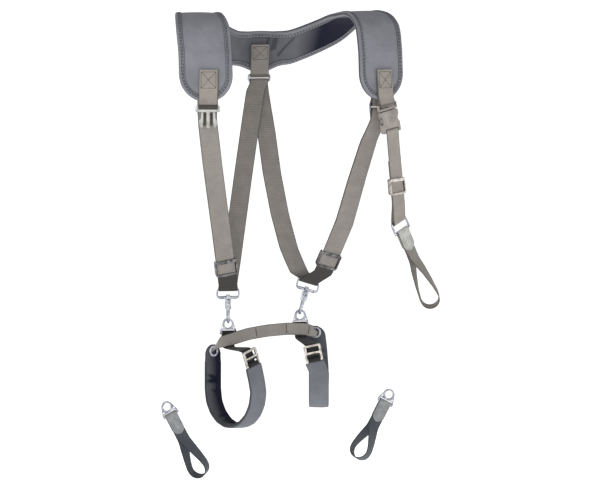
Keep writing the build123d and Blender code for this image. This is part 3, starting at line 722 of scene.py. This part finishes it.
# The binding's outer face: distance in from the pad's edge and height off its middle, in mm. It dips at
# the two stitch lines.
BIND_PROFILE = (
    (8.1, 2.3), (8.0, 3.05), (7.5, 3.3), (6.9, 3.25), (6.3, 3.0), (5.7, 3.3), (5.1, 3.32), (4.5, 3.0),
    (3.8, 3.3), (2.6, 3.3), (1.5, 3.0), (0.7, 2.3), (0.2, 1.2), (0.0, 0.0),
)
STITCH_DEPTHS = (6.3, 4.5)
STITCH_RISE = 3.12


def pad_height(d, spot):
    """Half the pad's thickness: pinched under the binding, then filling out, with slow unevenness."""
    fill = min(1.0, max(0.0, (d - 7.5) / 16.0))
    swell = 2.45 + 0.75 * (1 - (1 - fill) ** 2)
    ripple = 0.1 * math.sin(spot[0] * 0.13 + spot[2] * 0.21) * math.sin(spot[1] * 0.17 + 1.3)
    return swell + ripple * fill


def inner_shade(spot):
    """How much painted shade the inner face gets: about half everywhere, more where it turns over the
    shoulders and along its creases.
    """
    turn = min(1.0, max(0.0, (abs(spot[0]) - 46) / 28))
    over = min(1.0, max(0.0, (spot[1] + 5) / 25))
    return min(1.0, 0.47 + 0.53 * turn * over + 0.3 * crease_depth(spot))


def make_yoke():
    yoke = Yoke()
    count = len(yoke.edge)
    shares = np.concatenate([[0.0], np.linspace(0.045, 1.0, 18)])
    start = 6.4
    verts, uvs, edges, painted_shade = [], [], [], []
    for side in (1, -1):
        for i in range(count):
            for s in shares:
                d = start + (yoke.depth[i] - start) * s
                spot = yoke.point(i, d, 0)
                lift = pad_height(d, spot) if s > 0 else 2.0
                lift -= crease_depth(spot) if side < 0 else 0
                verts.append(yoke.point(i, d, side * lift) * MM)
                uvs.append((d * MM, yoke.round[i] * MM))
                # Painted shade: the pad darkens towards the binding, and its inner face gets the inner_shade
                # amount.
                edges.append(max(0.0, d - 8.1))
                painted_shade.append(0.0 if side > 0 else inner_shade(spot))
    rows = len(shares)
    faces = []
    for side in range(2):
        base = side * count * rows
        for i in range(count):
            j = (i + 1) % count
            for k in range(rows - 1):
                near, far = base + i * rows + k, base + j * rows + k
                faces.append([near, far, far + 1, near + 1])
    for i in range(count):
        j = (i + 1) % count
        faces.append([i * rows, count * rows + i * rows, count * rows + j * rows, j * rows])
    mesh = bpy.data.meshes.new("padded_yoke")
    mesh.from_pydata([list(v) for v in verts], [], faces)
    layer = mesh.uv_layers.new(name="cloth")
    layer.data.foreach_set("uv", np.array([uvs[i] for f in faces for i in f], np.float32).reshape(-1))
    attribute = mesh.attributes.new("edge", "FLOAT", "POINT")
    attribute.data.foreach_set("value", np.array(edges, np.float32))
    mesh.attributes.new("painted_shade", "FLOAT", "POINT").data.foreach_set("value", np.array(painted_shade, np.float32))
    bm = bmesh.new()
    bm.from_mesh(mesh)
    bmesh.ops.remove_doubles(bm, verts=bm.verts, dist=0.05 * MM)
    bmesh.ops.recalc_face_normals(bm, faces=bm.faces)
    bm.to_mesh(mesh)
    bm.free()
    pad = piece("padded_yoke", mesh, "left_yoke_pad", "neoprene", ["left_yoke_pad", "right_yoke_pad"])

    profile = list(BIND_PROFILE) + [(d, -h) for d, h in BIND_PROFILE[-2::-1]]
    points = np.array([[yoke.point(i, d, h) * MM for d, h in profile] for i in range(count)])
    girth = np.concatenate([[0], np.cumsum([math.dist(a, b) for a, b in zip(profile[:-1], profile[1:])])])
    uv = np.array([[(g * MM, yoke.round[i] * MM) for g in girth] for i in range(count)])
    # Painted shade: darkest at the binding's fold and where it meets the pad, a little dark in its stitch
    # grooves.
    edge = np.array([[0.1 if d > 7.9 or d < 0.5 else 0.7 if d in STITCH_DEPTHS else 3.0 for d, h in profile]
                     for i in range(count)])
    binding = grid_mesh("edge_binding", points, uv, edge, closed=True)
    nodes = ["left_yoke_binding", "right_yoke_binding"]
    piece("edge_binding", binding, "left_yoke_binding", "binding", nodes)
    lines = []
    for d in STITCH_DEPTHS:
        for side in (1, -1):
            spokes = list(range(count)) + [0]
            rise = side * STITCH_RISE
            lines.append([(yoke.point(i, d, rise) * MM, yoke.normal[i] * side) for i in spokes])
    stitches("binding_stitches", lines, "left_yoke_binding", "dark_thread", 4.4, 0.52)


# The seams above the back tab: their two ends in X and Z, in mm.
CREASES = (
    ((12.0, -26.0), (8.5, -42.0)), ((19.0, -27.0), (15.0, -46.0)),
    ((22.0, -26.0), (19.0, -45.0)), ((42.0, -30.0), (24.0, -54.0)),
)


def crease_depth(spot):
    """How far the inner face is drawn in along the seams above the back tab, in mm."""
    x, y, z = spot
    if y < 60:
        return 0.0
    depth = 0.0
    for (x0, z0), (x1, z1) in CREASES:
        dx, dz = x1 - x0, z1 - z0
        t = min(1.0, max(0.0, ((x - x0) * dx + (z - z0) * dz) / (dx * dx + dz * dz)))
        away = math.hypot(x - x0 - t * dx, z - z0 - t * dz)
        depth = max(depth, 1.1 * math.exp(-(away / 1.3) ** 2))
    return depth


make_yoke()

# ---- Webbing tabs and straps --------------------------------------------------------------------
tab = webbing("left_buckle_tab", "twill", shadow=lambda band, u: shadow_above_fold(band, 5.6))
box_stitch(tab, "left_buckle_tab", -1, 3.0, 24.0)
tab = webbing("right_buckle_tab", "twill", shadow=lambda band, u: 0.7 * shadow_above_fold(band, 4.4))
box_stitch(tab, "right_buckle_tab", -1, 3.0, 24.0)
tab = webbing("back_tab", shadow=lambda band, u: 0.6 * shadow_above_fold(band, 4.4))
box_stitch(tab, "back_tab", -1, 3.0, 20.0)
for side in ("left", "right"):
    tab = webbing(side + "_ring_tab", rear_first=True)
    box_stitch(tab, side + "_ring_tab", 1, 3.0, 18.0)
    webbing(side + "_adjust_strap")
    webbing(side + "_sling_core")
    webbing(side + "_connector_loop")
webbing("accessory_strap", "twill")
webbing("accessory_loop")
webbing("left_main_strap", shadow=lambda band, u: np.maximum(
    shadow_under(band, "left_slider"), shadow_behind(band, "left_buckle_left_prong", u)))
webbing("right_main_strap", shadow=lambda band, u: shadow_under(band, "right_slider"))
crossbar = webbing("crossbar_strap")


def bar_tack(name, band, node, v, half, sides=(1, -1)):
    """A dense zigzag of thread across a strap."""
    lines = []
    for side in sides:
        zigzag = [(v + (1.1 if k % 2 else -1.1), -half + 2 * half * k / 16) for k in range(17)]
        lines.append(seam(band, side, zigzag, 1.0))
    return stitches(name, lines, node, "warm_thread", 1.6, 0.26)


for number, share in enumerate((0.36, 0.55, 0.7)):
    bar_tack(f"crossbar_tack_{number + 1}", crossbar, "crossbar_strap", crossbar.length / MM * share, 5.5)

# ---- Leather tabs -------------------------------------------------------------------------------
LEATHER_PROFILE = ((0.0, 0.0), (0.1, 0.5), (0.35, 0.85), (0.8, 1.0), (1.6, 0.98), (2.0, 0.84), (2.5, 0.98))


def rounded_end(along, length, half):
    """Narrows both ends of a tab into half circles."""
    to_end = min(along, length - along)
    radius = half * 0.95
    if to_end >= radius:
        return 1.0
    return max(0.22, math.sqrt(max(0.0, 1 - ((radius - to_end) / radius) ** 2)))


for node, material in (("left_connector_tab", "leather"), ("right_connector_tab", "leather"),
                       ("accessory_tab", "pale_leather")):
    band = Band(node, 1.2 * MM)
    points, uv, edge = strap_rings(band, LEATHER_PROFILE, ends=rounded_end)
    piece("folded_" + node, grid_mesh("folded_" + node, points, uv, edge), node, material, [node])
    lines = []
    for inset in (2.0, 4.6):
        reach = float(band.width[len(band.width) // 2]) / 2 / MM - inset
        bow = [(inset + reach * (1 - math.cos(a)), reach * math.sin(a)) for a in np.linspace(-1.5, 1.5, 13)]
        path = [(19.0, -reach)] + bow + [(19.0, reach)]
        lines.append(seam(band, 1 if band.through[0, 1] < 0 else -1, path, 1.0))
    stitches(node + "_stitches", lines, node, "leather_thread", 2.2, 0.24)

# ---- Sling bands --------------------------------------------------------------------------------
BAND_PROFILE = (
    (0.0, 0.0), (0.25, 0.42), (0.9, 0.78), (1.8, 0.93), (2.9, 0.9), (3.6, 0.8), (4.4, 0.92), (7.0, 1.0),
)
# The sewn tail's middle line: depth off the band's middle and height above its top, in mm.
TAIL_LINE = ((4.75, 13.3), (4.75, 9.5), (4.7, 5.5), (4.3, 1.0), (3.85, -2.5), (3.7, -7.0))
TAIL_W, TAIL_T = 15.4, 1.2


def sling_ends(along, length, half):
    """Rounds the far end about its eyelet and the corners next to the slider."""
    to_end = length - along
    if to_end < half:
        return max(0.25, math.sqrt(max(0.0, 1 - ((half - to_end) / half) ** 2)))
    return 0.97 + 0.03 * min(1.0, along / (4 * MM))


def sling_band(side, seed, toward_x, shade):
    """A padded loop. Its lining gets painted shadow, deeper towards the edge on this side of X, by this much.
    """
    node = side + "_sling_band"
    band = Band(node, 1.5 * MM)
    middle = band.centre.mean(0)
    inward = 1.0 if ((middle - band.centre) * band.through).sum() > 0 else -1.0
    dark_edge = toward_x if band.across[len(band.across) // 2, 0] > 0 else -toward_x
    rng = random.Random(seed)
    # Each fold: place along, depth, half width, skew and middle across, all but the first in mm.
    ranges = ((0.12, 0.84), (0.7, 1.7), (1.7, 3.4), (-7, 7), (-5, 9))
    folds = [[rng.uniform(low, high) for low, high in ranges] for _ in range(24)]

    def fold_depth(v, u):
        """How deep the lining is creased, in mm; each crease fades out across the band."""
        depth = np.zeros_like(u)
        for share, deep, wide, skew, middle_u in folds:
            away = (v - share * band.length) / MM - skew * (u / (14 * MM))
            reach = np.exp(-(((u / MM) - middle_u * dark_edge) / 9) ** 2)
            depth = np.maximum(depth, deep * reach * np.exp(-(away / wide) ** 2))
        return depth

    def relief(v, u, inset, face):
        """Creases in the lining, and a slow unevenness of both faces."""
        fade = np.clip((inset / MM - 2.5) / 3.0, 0, 1)
        uneven = 0.12 * MM * math.sin(v / (6 * MM)) * np.sin(u / (5 * MM) + 0.7)
        return face * fade * (uneven - np.where(face == inward, fold_depth(v, u) * MM, 0.0))

    points, uv, edge = strap_rings(band, BAND_PROFILE, relief=relief, ends=sling_ends)
    toward = ((points - band.centre[:, None]) * band.through[:, None]).sum(2) * inward
    across = uv[:, :, 0] / (band.width[:, None] / 2) * dark_edge
    creases = np.array([fold_depth(v, u) for v, u in zip(band.along, uv[:, :, 0])])
    # Painted shadow on the lining: a base amount, more towards the shaded edge and in the creases.
    depth = 0.42 + shade * np.clip(across + 0.6, 0, 1) + 0.4 * creases
    painted_shade = np.clip(toward / (0.8 * MM), 0, 1) * np.clip(depth, 0, 1)
    mesh = grid_mesh("padded_" + node, points, uv, edge, painted_shade=painted_shade)
    pad = piece("padded_" + node, mesh, node, "band", [node])

    # The end of the core webbing, sewn to the lining below the slider.
    up = unit(band.centre[0] - band.centre[2])
    out = band.through[0] * inward
    spots = np.array([band.centre[0] + out * depth * MM + up * rise * MM for depth, rise in TAIL_LINE])
    steps = np.linalg.norm(spots[1:] - spots[:-1], axis=1)
    along = np.concatenate([[0.0], np.cumsum(steps)])
    across, through = (np.repeat(v[None], len(spots), 0) for v in (band.across[0], band.through[0]))
    width, thick = (np.full(len(spots), size * MM) for size in (TAIL_W, TAIL_T))
    tail = SimpleNamespace(
        centre=spots, across=across, through=through, width=width, thick=thick, along=along, length=along[-1],
    )
    points, uv, edge = strap_rings(tail, WEB_PROFILE)
    name = side + "_sewn_tail"
    piece(name, grid_mesh(name, points, uv, edge), side + "_sling_core", "black_webbing")


sling_band("left", 11, 1, 0.62)
sling_band("right", 23, -1, 0.3)

# ---- Hardware -----------------------------------------------------------------------------------
# The turned rings' heights above the hook's bend in mm, and their sizes as shares of the largest.
BEADS = ((19.8, 1.0), (21.5, 0.97), (23.2, 0.9), (24.8, 0.8))


def turned_beads(side):
    """The raised rings turned round a snap hook's body."""
    joint = JOINTS[side + "_hook_swivel"]
    up = unit(np.array(joint["axis"], float))
    depth = np.array([0.0, 1.0, 0.0])
    wide = np.cross(depth, up)
    for number, (height, size) in enumerate(BEADS):
        rings = []
        for a in np.linspace(0, 2 * math.pi, 32, endpoint=False):
            out = wide * math.cos(a) + depth * math.sin(a)
            middle = np.array(joint["pos_m"]) + up * height * MM
            middle = middle + (wide * 3.1 * math.cos(a) + depth * 5.6 * math.sin(a)) * size * MM
            rings.append([middle + (out * math.cos(b) * 1.05 + up * math.sin(b) * 0.8) * MM
                          for b in np.linspace(0, 2 * math.pi, 10, endpoint=False)])
        points = np.array(rings)
        name = f"{side}_hook_bead_{number + 1}"
        piece(name, grid_mesh(name, points, points[:, :, :2], closed=True), side + "_hook_body", "chrome")


for side in ("left", "right"):
    hard(side + "_slider", 0.45)
    hard(side + "_front_ring", 0.95)
    hard(side + "_hook_eye", 0.8)
    hard(side + "_hook_gate", 0.4)
    hard(side + "_hook_pin", 0.2)
    hard(side + "_sling_ring", 0.7)
    hard(side + "_sling_slider", 0.6)
    hard(side + "_eyelet", 0.35)
    hard(side + "_connector_ring", 0.7)
    hard(side + "_buckle_male", 0.4)
    hard(side + "_buckle_left_prong", 0.5)
    hard(side + "_buckle_right_prong", 0.5)
    hard(side + "_hook_body", 0.6)
    hard(side + "_hook_spring", 0.1)
    turned_beads(side)
hard("back_ring", 0.95)
hard("right_buckle_female", 0.7)
hard("accessory_slider", 0.55)
hard("accessory_ring", 0.7)


# ---- Studio -------------------------------------------------------------------------------------
FLOOR_R, COVE_R, WALL_H, FLOOR_SIDES = 34.0, 2.0, 6.0, 96
FLOOR_GAP = 0.06  # from the part's lowest point down to the floor
LAMPS = {  # place, size and power
    "key": ((-1.3, -2.2, 0.35), 1.1, 17), "fill": ((1.9, -1.8, -0.5), 1.4, 8),
    "top": ((0.2, 0.4, 1.9), 1.6, 9), "behind": ((-1.2, 1.6, 0.5), 1.0, 8),
}
CAMERA_AIM = Vector((0.0296, 0, -0.297))
CAMERA_AZIMUTH, CAMERA_ELEVATION, CAMERA_DISTANCE = math.radians(-15), math.radians(3), 14.94


def studio():
    """A round floor that curves up into a low wall beyond every camera, with soft lamps about the part."""
    scene = bpy.context.scene
    scene.view_settings.view_transform = "Standard"
    floor_z = cad_box[0][2] - FLOOR_GAP
    rows = [(FLOOR_R, 0.0)]
    for k in range(1, 9):
        turn = math.pi / 2 * k / 8
        rows.append((FLOOR_R + COVE_R * math.sin(turn), COVE_R * (1 - math.cos(turn))))
    rows.append((FLOOR_R + COVE_R, WALL_H))
    verts = [(0.0, 0.0, floor_z)]
    for radius, rise in rows:
        for k in range(FLOOR_SIDES):
            turn = 2 * math.pi * k / FLOOR_SIDES
            verts.append((radius * math.cos(turn), radius * math.sin(turn), floor_z + rise))
    faces = [(0, 1 + k, 1 + (k + 1) % FLOOR_SIDES) for k in range(FLOOR_SIDES)]
    for i in range(len(rows) - 1):
        for k in range(FLOOR_SIDES):
            a, b = 1 + i * FLOOR_SIDES + k, 1 + i * FLOOR_SIDES + (k + 1) % FLOOR_SIDES
            faces.append((a, a + FLOOR_SIDES, b + FLOOR_SIDES, b))
    mesh = bpy.data.meshes.new("sweep")
    mesh.from_pydata(verts, [], faces)
    mesh.shade_smooth()
    floor = bpy.data.objects.new("sweep", mesh)
    scene.collection.objects.link(floor)
    g = Graph("paper")
    tone = g.noise(g.place(), 3, 2)
    paper = g.blend(tone, (0.93, 0.93, 0.93, 1), (0.96, 0.96, 0.96, 1))
    g.done(base_color=paper, roughness=0.9, emission_color=paper, emission_strength=0.86)
    mesh.materials.append(g.material)
    world = bpy.data.worlds.new("studio")
    scene.world = world
    world.use_nodes = True
    world.node_tree.nodes["Background"].inputs[0].default_value = (1, 1, 1, 1)
    world.node_tree.nodes["Background"].inputs[1].default_value = 0.3
    for name, (spot, size, power) in LAMPS.items():
        data = bpy.data.lights.new(name, "AREA")
        data.energy = power
        data.size = size
        lamp = bpy.data.objects.new(name, data)
        lamp.location = spot
        lamp.rotation_euler = (Vector((0, 0, -0.28)) - Vector(spot)).to_track_quat("-Z", "Y").to_euler()
        scene.collection.objects.link(lamp)
    data = bpy.data.cameras.new("camera")
    data.lens, data.sensor_width = 690.0, 36.0
    camera = bpy.data.objects.new("camera", data)
    scene.collection.objects.link(camera)
    level = math.cos(CAMERA_ELEVATION)
    away = Vector((
        math.sin(CAMERA_AZIMUTH) * level, -math.cos(CAMERA_AZIMUTH) * level, math.sin(CAMERA_ELEVATION),
    ))
    camera.location = CAMERA_AIM + away * CAMERA_DISTANCE
    camera.rotation_euler = (-away).to_track_quat("-Z", "Y").to_euler()
    scene.camera = camera


studio()
